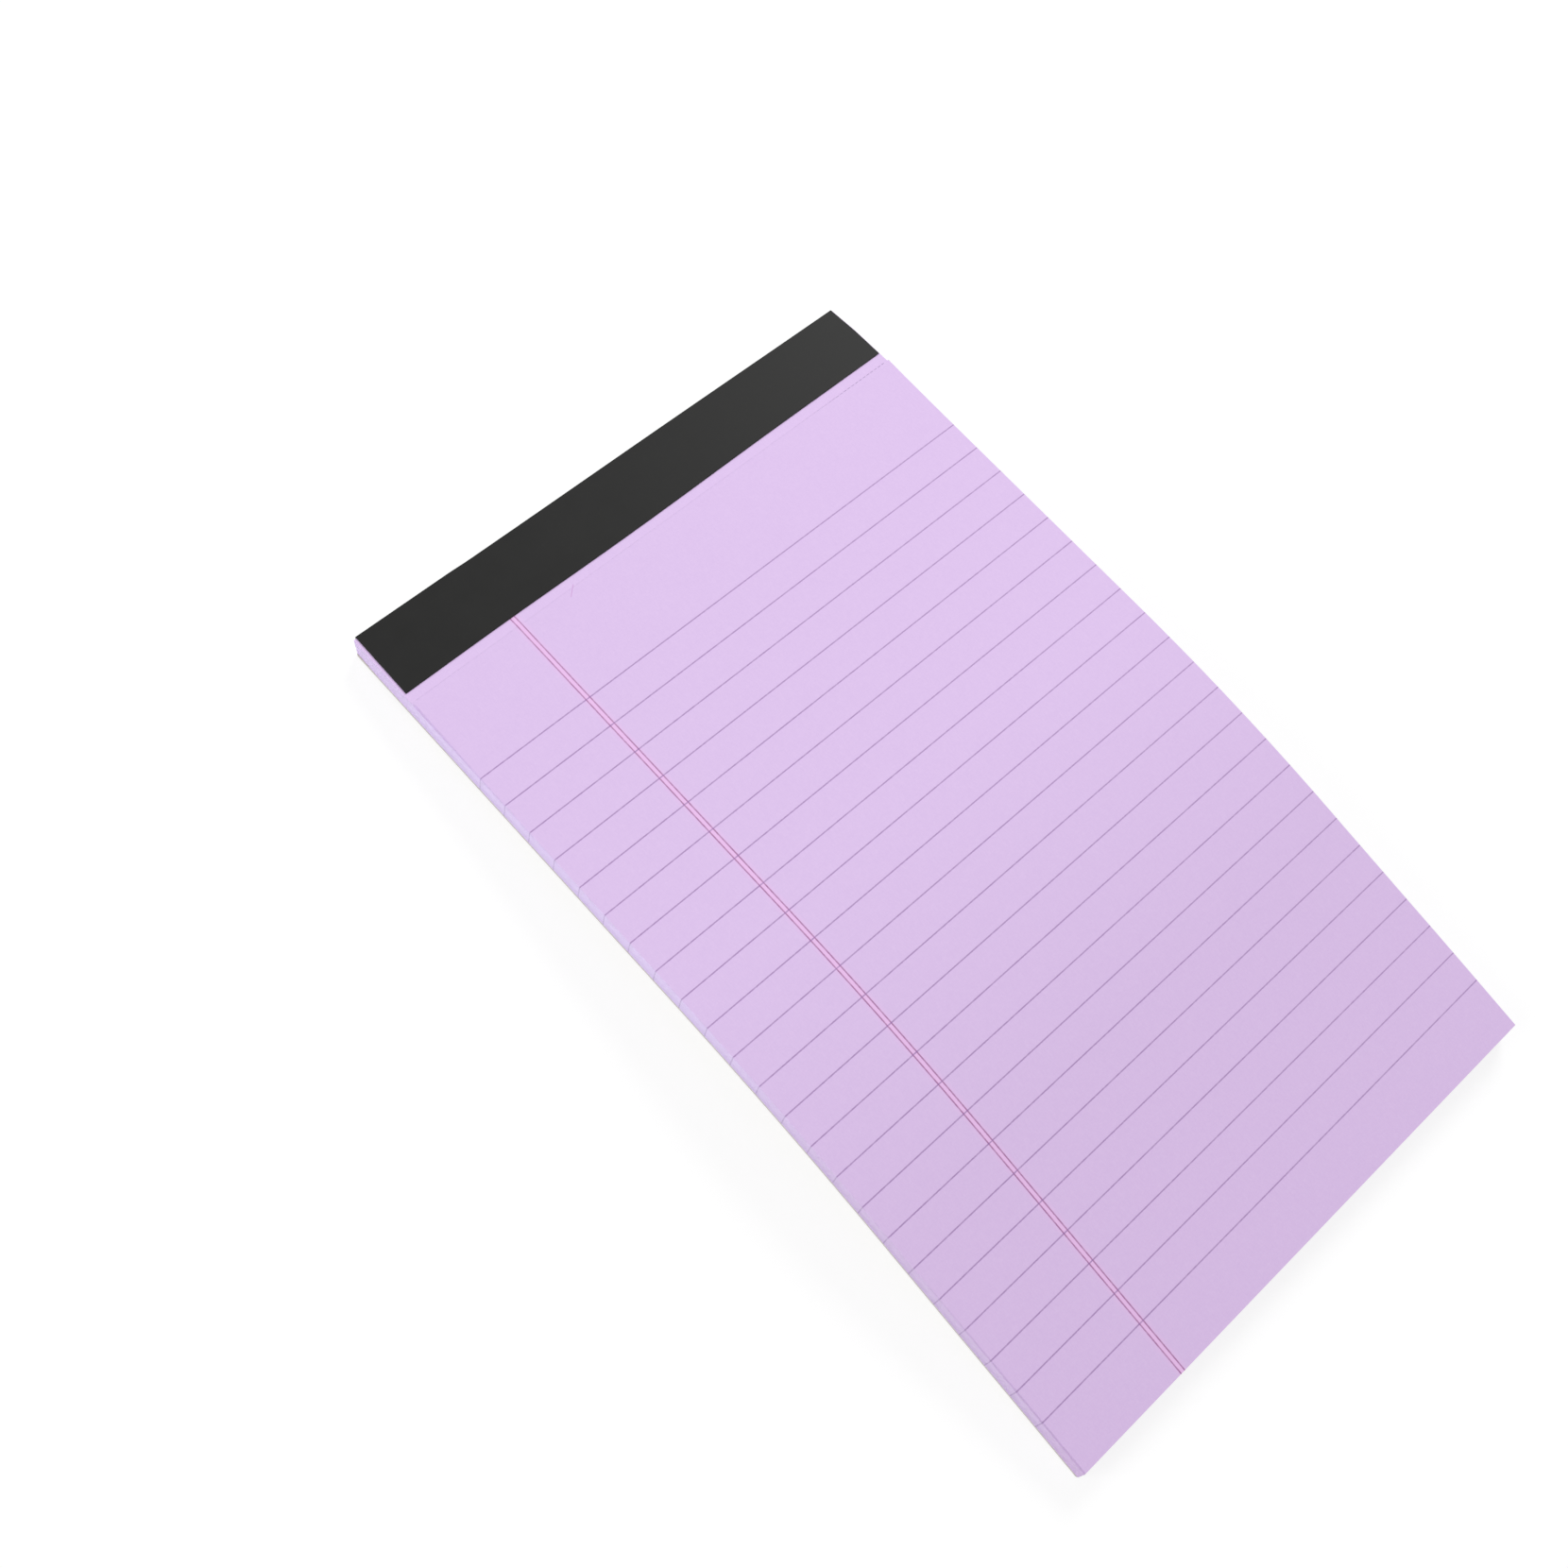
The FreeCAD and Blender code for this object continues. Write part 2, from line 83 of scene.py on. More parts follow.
# The tape seen from its end: the middles of its two folds, its crest and its front cut edge
FRONT_FOLD = Vector((
    0, FOLD_INSET, FOLD_INSET / math.cos(STUB_SLOPE) - STUB_DIP - FOLD_INSET * math.tan(STUB_SLOPE)
))
BACK_FOLD = Vector((0, FOLD_INSET, -PAD_DEPTH - FOLD_INSET))
CREST = FRONT_FOLD + FOLD_RADIUS * OFF_STUB
FRONT_CUT = Vector((0, 0, -STUB_DIP)) + TAPE_RUN * DOWN_STUB + TAPE_THICKNESS * OFF_STUB

# Waves of the tape's two cut edges and its fold: height, pace along the edge and start of each
FRONT_WAVES = ((0.1 * MM, 41, 0.6), (0.06 * MM, 97, 2.1))
BACK_WAVES = ((0.09 * MM, 53, 1.4), (0.05 * MM, 119, 0))
FOLD_WAVES = ((0.03 * MM, 73, 0.4),)
CUT_WAVE_REACH = 4 * MM
FOLD_WAVE_REACH = 1.2 * MM

# The front cut edge is tilted and drawn up at its right, and the fold steps in left of the middle
CUT_OUT = 0.05 * MM
CUT_TILT = 0.1 * MM
CUT_DRAWN_UP = 0.45 * MM
CUT_DRAWN_SPAN = (-25 * MM, 57 * MM)
FOLD_STEP_IN = 0.1 * MM
FOLD_STEP_PLACE = -38 * MM
FOLD_STEP_WIDTH = 1.5 * MM

# The head is cut a little out of square: its front edge reaches out by a middle value, by a skew
# more at the left and less at the right, and its corners are drawn in over the tape's ends
HEAD_OUT = 0.49 * MM
HEAD_SKEW = 0.37 * MM
LEFT_IN = 0.16 * MM
RIGHT_IN = 0.38 * MM
TAPE_END = (50 * MM, 63 * MM)

# The stitches, seen only when the tape is lifted
STITCH_LINE = 7 * MM
STITCH_ROOM = 0.6 * MM
STITCH_MIDDLES = (-32 * MM, 32 * MM)
CROWN_HALF = 6 * MM
CLINCH_REACH = 4.2 * MM

# The sheets: how far the knife leaves each one long or aside, and how the front ones have slipped
SHEET_COUNT = 50
SHEET_PITCH = PAGES_DEPTH / SHEET_COUNT
SHEET_THICKNESS = 0.089 * MM
SIDE_PLAY = 0.035 * MM
HEAD_TRIMS = (0.05 * MM, 0.09 * MM)
FOOT_TRIMS = (0, 0.07 * MM)
NEAR_EDGE = 1 * MM
SLIPPED_SHEETS = 3
FRONT_SLIP = 0.16 * MM
FOOT_SLIP = 0.28 * MM
FOOT_SLIP_SPAN = (145 * MM, 190 * MM)

# Past the perforation the sheets' right edges step out and the front ones' left edges step in,
# and both steps fade towards the foot. On the left, each sheet steps in less than the one over it.
STEP_OUT = 0.2 * MM
STEP_OUT_FADE = 9 * MM
STEP_OUT_START = -0.001 * MM
STEP_IN = 0.42 * MM
STEP_IN_FADE = 22 * MM
STEP_IN_START = 0.5 * MM
STEP_IN_SHARE = 0.5

# The perforation, open only near its right end and nearly closed elsewhere
PIERCED_SHEETS = 7
SLIT_PITCH = 1.11 * MM
SLIT_LENGTH = 0.68 * MM
SLIT_WIDTH = 0.09 * MM
SLIT_COUNT = 113
CLOSED_SHARE = 0.3
GAPE_SPAN = (36 * MM, 55 * MM)

# The board's softened corners and edges
BOARD_CORNER = 0.35 * MM
BOARD_RIM = 0.07 * MM

# The print
FIRST_RULE = 36.63 * MM
RULE_PITCH = 7.04 * MM
RULE_COUNT = 23
RULE_WIDTH = 0.24 * MM
MARGIN_MIDDLE = 26.5 * MM
MARGIN_GAP = 0.97 * MM
MARGIN_WIDTH = 0.24 * MM

# Where a sheet is cut across so that it can bend: evenly through the bend, and here and there in
# the straight runs, where its edges slip
BEND_STEPS = 24
BOW_CUTS = (
    STUB_LENGTH, 17.6 * MM, 22 * MM, 30 * MM, 42 * MM, 60 * MM, HEAD_RUN - 4 * MM,
    *(HEAD_RUN + BEND_LENGTH * i / BEND_STEPS for i in range(BEND_STEPS + 1)),
    HEAD_RUN + BEND_LENGTH + 4 * MM, 166 * MM, 178 * MM, 190 * MM,
)

# From this angle on, an edge lies between a face and a side. Points closer than this are one.
SIDE_ANGLE = math.radians(60)
SAME_PLACE = 1e-7

FLOOR_RADIUS = 3.0
FLOOR_DROP = 0.05 * MM

chance = random.Random(21)


def around(middle, width):
    """The two ends of a stretch, from its middle."""
    return middle - width / 2, middle + width / 2


LEG_HOLES = [
    around(middle + side * CROWN_HALF, STITCH_ROOM)
    for middle in STITCH_MIDDLES
    for side in (-1, 1)
]
CROWN_SLOTS = [around(middle, 2 * CROWN_HALF + STITCH_ROOM) for middle in STITCH_MIDDLES]
CLINCH_SLOTS = [
    around(middle + side * (CROWN_HALF - CLINCH_REACH / 2), CLINCH_REACH + STITCH_ROOM)
    for middle in STITCH_MIDDLES
    for side in (-1, 1)
]
SLITS = [around((i - (SLIT_COUNT - 1) / 2) * SLIT_PITCH, SLIT_LENGTH) for i in range(SLIT_COUNT)]


def share(value):
    """A value kept between 0 and 1."""
    return min(max(value, 0), 1)


def soft_rise(value, low, high):
    """A soft step from 0 to 1 between two limits."""
    part = share((value - low) / (high - low))
    return part * part * (3 - 2 * part)


def waves(place, terms):
    """The height of some waves together, at a place along an edge."""
    return sum(height * math.sin(pace * place + start) for height, pace, start in terms)


def head_edge(across):
    """How far the front sheet's head edge reaches out, at a distance from the pad's middle."""
    return HEAD_OUT - HEAD_SKEW * across / (PAD_WIDTH / 2)


def bow(along, depth):
    """The bent pad's Y and Z at a distance from the head's edge and a depth under the front sheet."""
    if along < STUB_LENGTH and depth < PAGES_DEPTH:
        dip = STUB_DIP * (1 - along / STUB_LENGTH)
        depth = dip + depth * (PAGES_DEPTH - dip) / PAGES_DEPTH
    turned = min(max(along - HEAD_RUN, 0) / BEND_RADIUS, BEND_ANGLE)
    tail = max(along - HEAD_RUN - BEND_LENGTH, 0)
    level = min(along, HEAD_RUN)
    y = -level - BEND_RADIUS * math.sin(turned) - tail * math.cos(turned)
    z = -depth - BEND_RADIUS * (1 - math.cos(turned)) - tail * math.sin(turned)
    return y, z


def bend(bm):
    """Bend a flat piece along the bow, keeping each point's flat place for its print and grain."""
    flat = bm.verts.layers.float_vector.new("flat")
    cut_edge = bm.faces.layers.float.new("cut_edge")
    bm.normal_update()
    for face in bm.faces:
        face[cut_edge] = 1.0 if abs(face.normal.z) < 0.5 else 0.0
    for vert in bm.verts:
        across, along, depth = vert.co.x, -vert.co.y, -vert.co.z
        vert[flat] = (across + PAD_WIDTH / 2, along, depth)
        vert.co = (across, *bow(along, depth))


def stand(bm):
    """Lean a piece with the rest of the pad and put it on the ground."""
    placed = Matrix.Translation(SEAT) @ Matrix.Rotation(-LEAN, 4, "X")
    bmesh.ops.transform(bm, matrix=placed, verts=bm.verts)


def finish_piece(bm, name, material, smooth_below=30):
    """Turn a made shape into an object that rides with the pad."""
    stand(bm)
    bmesh.ops.recalc_face_normals(bm, faces=bm.faces)
    mesh = bpy.data.meshes.new(name)
    bm.to_mesh(mesh)
    bm.free()
    mesh.polygons.foreach_set("use_smooth", [True] * len(mesh.polygons))
    mesh.set_sharp_from_angle(angle=math.radians(smooth_below))
    piece = bpy.data.objects.new(name, mesh)
    bpy.context.scene.collection.objects.link(piece)
    mesh.materials.append(material)
    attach(piece, "root")
    return piece


def cut_faces(bm, faces, place, direction):
    """Cut some faces in two where a plane goes through them."""
    edges = dict.fromkeys(edge for face in faces for edge in face.edges)
    verts = dict.fromkeys(vert for face in faces for vert in face.verts)
    geom = [*verts, *edges, *faces]
    bmesh.ops.bisect_plane(bm, geom=geom, plane_co=place, plane_no=direction, dist=SAME_PLACE)


def cut_across(bm, distances):
    """Cut a flat piece across, at distances from the head."""
    for along in distances:
        cut_faces(bm, bm.faces, (0, -along, 0), (0, 1, 0))


def open_row(bm, along, width, spans):
    """Open a row of holes in a flat sheet, at a distance from the head, from the two ends of each."""
    cut_across(bm, around(along, width))
    for end in (x for span in spans for x in span):
        strip = [f for f in bm.faces if abs(f.calc_center_median().y + along) < width / 2]
        strip = [f for f in strip if min(v.co.x for v in f.verts) < end < max(v.co.x for v in f.verts)]
        cut_faces(bm, strip, (end, 0, 0), (1, 0, 0))
    holes = []
    for face in bm.faces:
        middle = face.calc_center_median()
        if abs(middle.y + along) < width / 2 and any(a < middle.x < b for a, b in spans):
            holes.append(face)
    bmesh.ops.delete(bm, geom=holes, context="FACES")


def flat_sheet():
    """A flat sheet as wide and long as the pad, with cuts where it bends."""
    bm = bmesh.new()
    bmesh.ops.create_grid(bm, x_segments=1, y_segments=1, size=0.5)
    bmesh.ops.scale(bm, vec=(PAD_WIDTH, PAD_LENGTH, 1), verts=bm.verts)
    bmesh.ops.translate(bm, vec=(0, -PAD_LENGTH / 2, 0), verts=bm.verts)
    cut_across(bm, BOW_CUTS)
    return bm


def thicken(bm, thickness):
    """Give a flat sheet its thickness, downwards from its face."""
    bmesh.ops.recalc_face_normals(bm, faces=bm.faces)
    for face in bm.faces:
        if face.normal.z < 0:
            face.normal_flip()
    bmesh.ops.solidify(bm, geom=bm.faces[:], thickness=thickness)
    top = max(v.co.z for v in bm.verts)
    bmesh.ops.translate(bm, vec=(0, 0, -top), verts=bm.verts)


def sheet_pattern(spans, pierced):
    """One sheet as a mesh to repeat, with holes for the stitches and, near the front, the perforation."""
    bm = flat_sheet()
    open_row(bm, STITCH_LINE, STITCH_ROOM, spans)
    if pierced:
        open_row(bm, STUB_LENGTH, SLIT_WIDTH, SLITS)
        for vert in bm.verts:
            beside = vert.co.y + STUB_LENGTH
            if abs(beside) < SLIT_WIDTH:
                gape = CLOSED_SHARE + (1 - CLOSED_SHARE) * soft_rise(vert.co.x, *GAPE_SPAN)
                vert.co.y = beside * gape - STUB_LENGTH
    thicken(bm, SHEET_THICKNESS)
    mesh = bpy.data.meshes.new("sheet_pattern")
    bm.to_mesh(mesh)
    bm.free()
    return mesh


def trim_sheet(verts, number):
    """Trim one sheet at its ends, and move its long edges as those of the pad's front sheets lie."""
    slipped = max(0, 1 - number / SLIPPED_SHEETS)
    head_trim = chance.uniform(*HEAD_TRIMS)
    foot_trim = chance.uniform(*FOOT_TRIMS)
    for vert in verts:
        if vert.co.y > -NEAR_EDGE:
            vert.co.y += head_edge(vert.co.x) * (1 - number / SHEET_COUNT) - head_trim
            vert.co.x += LEFT_IN if vert.co.x < 0 else -RIGHT_IN
        elif vert.co.y < -PAD_LENGTH + NEAR_EDGE:
            vert.co.y += foot_trim
        past_stub = -vert.co.y - STUB_LENGTH
        at_foot = FOOT_SLIP * soft_rise(-vert.co.y, *FOOT_SLIP_SPAN)
        if vert.co.x > PAD_WIDTH / 2 - NEAR_EDGE and past_stub > STEP_OUT_START:
            step = STEP_OUT * math.exp(-past_stub / STEP_OUT_FADE)
            vert.co.x += step + (FRONT_SLIP + at_foot) * slipped
        if vert.co.x < -PAD_WIDTH / 2 + NEAR_EDGE and past_stub > STEP_IN_START and slipped:
            step = STEP_IN * math.exp(-past_stub / STEP_IN_FADE)
            vert.co.x += (step + at_foot) * STEP_IN_SHARE ** number


def make_sheets(material):
    """The ruled sheets, one by one, each trimmed a hair differently by the knife."""
    front_pattern = sheet_pattern(CROWN_SLOTS, True)
    inner_pattern = sheet_pattern(LEG_HOLES, False)
    stack = bmesh.new()
    for number in range(SHEET_COUNT):
        before = len(stack.verts)
        stack.from_mesh(front_pattern if number < PIERCED_SHEETS else inner_pattern)
        stack.verts.ensure_lookup_table()
        verts = stack.verts[before:]
        aside = chance.uniform(-SIDE_PLAY, SIDE_PLAY)
        trim_sheet(verts, number)
        bmesh.ops.translate(stack, vec=(aside, 0, -number * SHEET_PITCH), verts=verts)
    bpy.data.meshes.remove(front_pattern)
    bpy.data.meshes.remove(inner_pattern)
    bend(stack)
    return finish_piece(stack, "ruled_sheets", material)


def lies_level(edge):
    """Whether an edge runs along a face of the sheet, and not down its side."""
    return abs(edge.verts[0].co.z - edge.verts[1].co.z) < 0.1 * MM


def in_stitch_row(edge):
    """Whether an edge belongs to the row of slots for the stitches."""
    return all(abs(vert.co.y + STITCH_LINE) < STITCH_ROOM for vert in edge.verts)


def sharp_edges(bm):
    """The edges where a sheet's face meets its side."""
    return [edge for edge in bm.edges if edge.calc_face_angle(0) > SIDE_ANGLE]


def make_board(material):
    """The chipboard behind the sheets, with its corners and edges a little softened."""
    bm = flat_sheet()
    corners = [v for v in bm.verts if len(v.link_edges) == 2]
    bmesh.ops.bevel(
        bm, geom=corners, offset=BOARD_CORNER, segments=4, profile=0.5, affect="VERTICES", material=-1
    )
    open_row(bm, STITCH_LINE, STITCH_ROOM, CLINCH_SLOTS)
    thicken(bm, BOARD_DEPTH)
    rim = [edge for edge in sharp_edges(bm) if lies_level(edge) and not in_stitch_row(edge)]
    bmesh.ops.bevel(bm, geom=rim, offset=BOARD_RIM, segments=2, profile=0.5, affect="EDGES", material=-1)
    bmesh.ops.translate(bm, vec=(0, 0, -PAGES_DEPTH), verts=bm.verts)
    bend(bm)
    return finish_piece(bm, "chipboard_back", material, smooth_below=20)


def carry_on(bm, edges, step, times):
    """Draw a row of edges out by equal steps, and return the last row."""
    for _ in range(times):
        grown = bmesh.ops.extrude_edge_only(bm, edges=edges)["geom"]
        verts = [g for g in grown if isinstance(g, bmesh.types.BMVert)]
        fresh = set(verts)
        edges = [g for g in grown if isinstance(g, bmesh.types.BMEdge) and set(g.verts) <= fresh]
        bmesh.ops.translate(bm, vec=step, verts=verts)
    return edges


def fold(bm, edges, centre, angle):
    """Turn a row of edges down round a fold's centre, and return the last row."""
    turned = bmesh.ops.spin(
        bm, geom=edges, cent=centre, axis=(1, 0, 0), angle=-angle, steps=FOLD_STEPS
    )
    return [g for g in turned["geom_last"] if isinstance(g, bmesh.types.BMEdge)]


def wave_tape(vert):
    """Let the tape's two cut edges and its fold run a little unevenly."""
    x = vert.co.x
    if vert.co.z > -PAD_DEPTH / 2:
        front_wave = CUT_OUT + waves(x, FRONT_WAVES) + CUT_TILT * x / (PAD_WIDTH / 2)
        front_wave -= CUT_DRAWN_UP * soft_rise(x, *CUT_DRAWN_SPAN)
        from_cut = (FRONT_CUT - vert.co).dot(DOWN_STUB)
        vert.co += DOWN_STUB * front_wave * max(0, 1 - from_cut / CUT_WAVE_REACH) ** 2
    else:
        from_cut = vert.co.y + TAPE_RUN
        vert.co.y += waves(x, BACK_WAVES) * max(0, 1 - from_cut / CUT_WAVE_REACH) ** 2
    if vert.co.y > -FOLD_WAVE_REACH:
        step_in = FOLD_STEP_IN * (1 - math.tanh((x - FOLD_STEP_PLACE) / FOLD_STEP_WIDTH)) / 2
        vert.co.y += (step_in + waves(x, FOLD_WAVES)) * (1 + vert.co.y / FOLD_WAVE_REACH)


def skew_tape(vert):
    """Bring the tape onto the head as it was cut, out of square and with its corners drawn in."""
    x = vert.co.x
    up_run = share(1 + vert.co.y / TAPE_RUN)
    up_wall = share((vert.co.z - BACK_FOLD.z) / (FRONT_FOLD.z - BACK_FOLD.z))
    near_head = share(1 + vert.co.y / STITCH_LINE)
    out = head_edge(x) * up_run * up_wall
    vert.co.y += out
    vert.co.z -= out * up_wall * math.tan(STUB_SLOPE)
    vert.co.x -= RIGHT_IN * near_head * soft_rise(x, *TAPE_END)
    if vert.co.z > -PAGES_DEPTH:
        vert.co.x += LEFT_IN * (2 * up_run - 1) * soft_rise(-x, *TAPE_END)
    vert.co.x += TAPE_SHIFT


def fold_tape():
    """The tape's outer face: flat on the stub, folded down the head and flat again on the board."""
    front_run = (FRONT_CUT - CREST).length
    slope = Matrix.Rotation(-STUB_SLOPE, 3, "X")
    bm = bmesh.new()
    bmesh.ops.create_grid(bm, x_segments=TAPE_COLUMNS, y_segments=TAPE_ROWS, size=0.5)
    bmesh.ops.scale(bm, vec=(TAPE_WIDTH, front_run, 1), verts=bm.verts)
    bmesh.ops.translate(bm, vec=(0, -front_run / 2, 0), verts=bm.verts)
    bmesh.ops.rotate(bm, cent=(0, 0, 0), matrix=slope, verts=bm.verts)
    bmesh.ops.translate(bm, vec=CREST, verts=bm.verts)
    row = [e for e in bm.edges if all((v.co - CREST).dot(DOWN_STUB) < 0.01 * MM for v in e.verts)]
    row = fold(bm, row, FRONT_FOLD, math.pi / 2 - STUB_SLOPE)
    row = carry_on(bm, row, (BACK_FOLD - FRONT_FOLD) / WALL_ROWS, WALL_ROWS)
    row = fold(bm, row, BACK_FOLD, math.pi / 2)
    carry_on(bm, row, Vector((0, -(TAPE_RUN + FOLD_INSET) / TAPE_ROWS, 0)), TAPE_ROWS)
    return bm


def make_tape(material):
    """The strip over the head, with its slight waves, its thickness and its softened rims."""
    bm = fold_tape()
    for vert in bm.verts:
        wave_tape(vert)
        skew_tape(vert)
    bm.normal_update()
    bmesh.ops.recalc_face_normals(bm, faces=bm.faces)
    front = max(bm.faces, key=lambda face: face.calc_center_median().z)
    if front.normal.z < 0:
        bmesh.ops.reverse_faces(bm, faces=bm.faces)
    bmesh.ops.solidify(bm, geom=bm.faces[:], thickness=TAPE_THICKNESS)
    rim = sharp_edges(bm)
    bmesh.ops.bevel(bm, geom=rim, offset=TAPE_RIM, segments=1, profile=0.5, affect="EDGES", material=-1)
    return finish_piece(bm, "head_tape", material, smooth_below=40)


def add_node(tree, kind, inputs=(), **settings):
    """A shader node with its settings and inputs. An input is a socket to link or a value to set."""
    made = tree.nodes.new("ShaderNode" + kind)
    for setting, choice in settings.items():
        setattr(made, setting, choice)
    for where, value in dict(inputs).items():
        socket = made.inputs[where]
        if isinstance(value, bpy.types.NodeSocket):
            tree.links.new(value, socket)
        else:
            socket.default_value = value
    return made


def math_node(tree, operation, *values):
    """The result of one sum, each value a socket or a number."""
    return add_node(tree, "Math", enumerate(values), operation=operation).outputs[0]


def smooth_step(tree, value, low, high, start=0.0, end=1.0):
    """A soft step of a value between two limits."""
    limits = {"Value": value, "From Min": low, "From Max": high, "To Min": start, "To Max": end}
    return add_node(tree, "MapRange", limits, interpolation_type="SMOOTHSTEP").outputs["Result"]


def mix_colours(tree, factor, first, second, blend="MIX"):
    """A colour between two others, or one laid over the other with a blend."""
    made = add_node(tree, "Mix", {0: factor, 6: first, 7: second}, data_type="RGBA", blend_type=blend)
    return made.outputs[2]


def noise_value(tree, place, scale, detail=3.0, roughness=0.55, distortion=0.0):
    """Cloudy noise between 0 and 1."""
    settings = {
        "Vector": place, "Scale": scale, "Detail": detail, "Roughness": roughness, "Distortion": distortion,
    }
    return add_node(tree, "TexNoise", settings).outputs["Fac"]


def stretched(tree, place, scale):
    """A place scaled along each axis, so that a pattern on it is drawn out."""
    return add_node(tree, "Mapping", {"Vector": place, "Scale": scale}).outputs["Vector"]


def kept_value(tree, name, output):
    """A value that the mesh keeps for each of its points or faces."""
    made = add_node(tree, "Attribute", attribute_name=name, attribute_type="GEOMETRY")
    return made.outputs[output]


def make_group(name, inputs, outputs):
    """An empty shader group with its named sockets, and the two nodes that they show on inside."""
    group = bpy.data.node_groups.new(name, "ShaderNodeTree")
    for socket, kind, value in inputs:
        made = group.interface.new_socket(name=socket, in_out="INPUT", socket_type="NodeSocket" + kind)
        if value is not None:
            made.default_value = value
    for socket, kind in outputs:
        group.interface.new_socket(name=socket, in_out="OUTPUT", socket_type="NodeSocket" + kind)
    given = group.nodes.new("NodeGroupInput")
    result = group.nodes.new("NodeGroupOutput")
    return group, given.outputs, result.inputs


def use_group(tree, group, inputs):
    """The outputs of a shader group, with its inputs linked or set."""
    return add_node(tree, "Group", inputs, node_tree=group).outputs


def printed_line_group():
    """Ink of one or more printed lines, from the distance across them."""
    group, given, result = make_group(
        "printed line",
        [
            ("Across", "Float", 0.0), ("First", "Float", 0.0), ("Pitch", "Float", 1.0),
            ("Last Number", "Float", 0.0), ("Width", "Float", 0.3 * MM), ("Place", "Vector", None),
        ],
        [("Ink", "Float")],
    )
    past_first = math_node(group, "SUBTRACT", given["Across"], given["First"])
    steps = math_node(group, "DIVIDE", past_first, given["Pitch"])
    nearest = math_node(group, "MAXIMUM", math_node(group, "ROUND", steps), 0.0)
    line_number = math_node(group, "MINIMUM", nearest, given["Last Number"])
    steps_off = math_node(group, "ABSOLUTE", math_node(group, "SUBTRACT", steps, line_number))
    off = math_node(group, "MULTIPLY", steps_off, given["Pitch"])
    fray = noise_value(group, given["Place"], scale=4200.0, detail=2.0)
    half = math_node(group, "MULTIPLY", given["Width"], math_node(group, "MULTIPLY_ADD", fray, 0.5, 0.27))
    outer = math_node(group, "MULTIPLY", half, 1.55)
    inner = math_node(group, "MULTIPLY", half, 0.55)
    line = smooth_step(group, off, inner, outer, start=1.0, end=0.0)
    patchy = noise_value(group, given["Place"], scale=900.0, detail=4.0)
    strength = smooth_step(group, patchy, 0.3, 0.62, start=0.72, end=1.0)
    group.links.new(math_node(group, "MULTIPLY", line, strength), result["Ink"])
    return group


def paper_fibre_group():
    """Fine mottling of felted fibres: soft clouds, fibres lying two ways and a small tooth."""
    group, given, result = make_group(
        "paper fibre",
        [("Place", "Vector", None), ("Scale", "Float", 1.0)],
        [("Cloud", "Float"), ("Fibre", "Float"), ("Height", "Float")],
    )
    scaled = add_node(group, "VectorMath", {0: given["Place"], "Scale": given["Scale"]}, operation="SCALE")
    place = scaled.outputs[0]
    cloud = noise_value(group, place, scale=190.0, detail=4.0, roughness=0.6)
    drawn_along = stretched(group, place, (1.0, 0.28, 1.0))
    along = noise_value(group, drawn_along, scale=2600.0, detail=4.0, roughness=0.6, distortion=1.4)
    drawn_across = stretched(group, place, (0.35, 1.0, 1.0))
    cross = noise_value(group, drawn_across, scale=3100.0, detail=3.0, roughness=0.5, distortion=1.1)
    fibre = math_node(group, "MULTIPLY_ADD", along, 0.6, math_node(group, "MULTIPLY", cross, 0.4))
    tooth = noise_value(group, place, scale=9000.0, detail=2.0)
    height = math_node(group, "MULTIPLY_ADD", tooth, 0.35, math_node(group, "MULTIPLY", fibre, 0.65))
    group.links.new(cloud, result["Cloud"])
    group.links.new(fibre, result["Fibre"])
    group.links.new(height, result["Height"])
    return group


def start_material(name):
    """A new material with one main shader, its node tree and that shader."""
    material = bpy.data.materials.new(name)
    material.use_nodes = True
    tree = material.node_tree
    tree.nodes.clear()
    shader = add_node(tree, "BsdfPrincipled")
    add_node(tree, "OutputMaterial", {"Surface": shader.outputs[0]})
    return material, tree, shader


def bump(tree, shader, height, strength, distance):
    """Raise a shader's surface a little, by a height between 0 and 1."""
    settings = {"Height": height, "Strength": strength, "Distance": distance}
    tree.links.new(add_node(tree, "Bump", settings).outputs["Normal"], shader.inputs["Normal"])


def stray_fibre(tree, flat):
    """A mask for one darker fibre that lies in the front sheet, near the margin and the perforation."""
    lie = {
        "Vector": flat,
        "Location": (39.36 * MM, 17.08 * MM, 0),
        "Rotation": (0, 0, math.radians(49)),
    }
    place = add_node(tree, "Mapping", lie, vector_type="TEXTURE")
    axes = add_node(tree, "SeparateXYZ", {0: place.outputs["Vector"]})
    aside = math_node(tree, "ABSOLUTE", axes.outputs["X"])
    ahead = math_node(tree, "ABSOLUTE", axes.outputs["Y"])
    thin = smooth_step(tree, aside, 0.05 * MM, 0.12 * MM, start=1.0, end=0.0)
    short = smooth_step(tree, ahead, 1.2 * MM, 1.6 * MM, start=1.0, end=0.0)
    return math_node(tree, "MULTIPLY", thin, short)


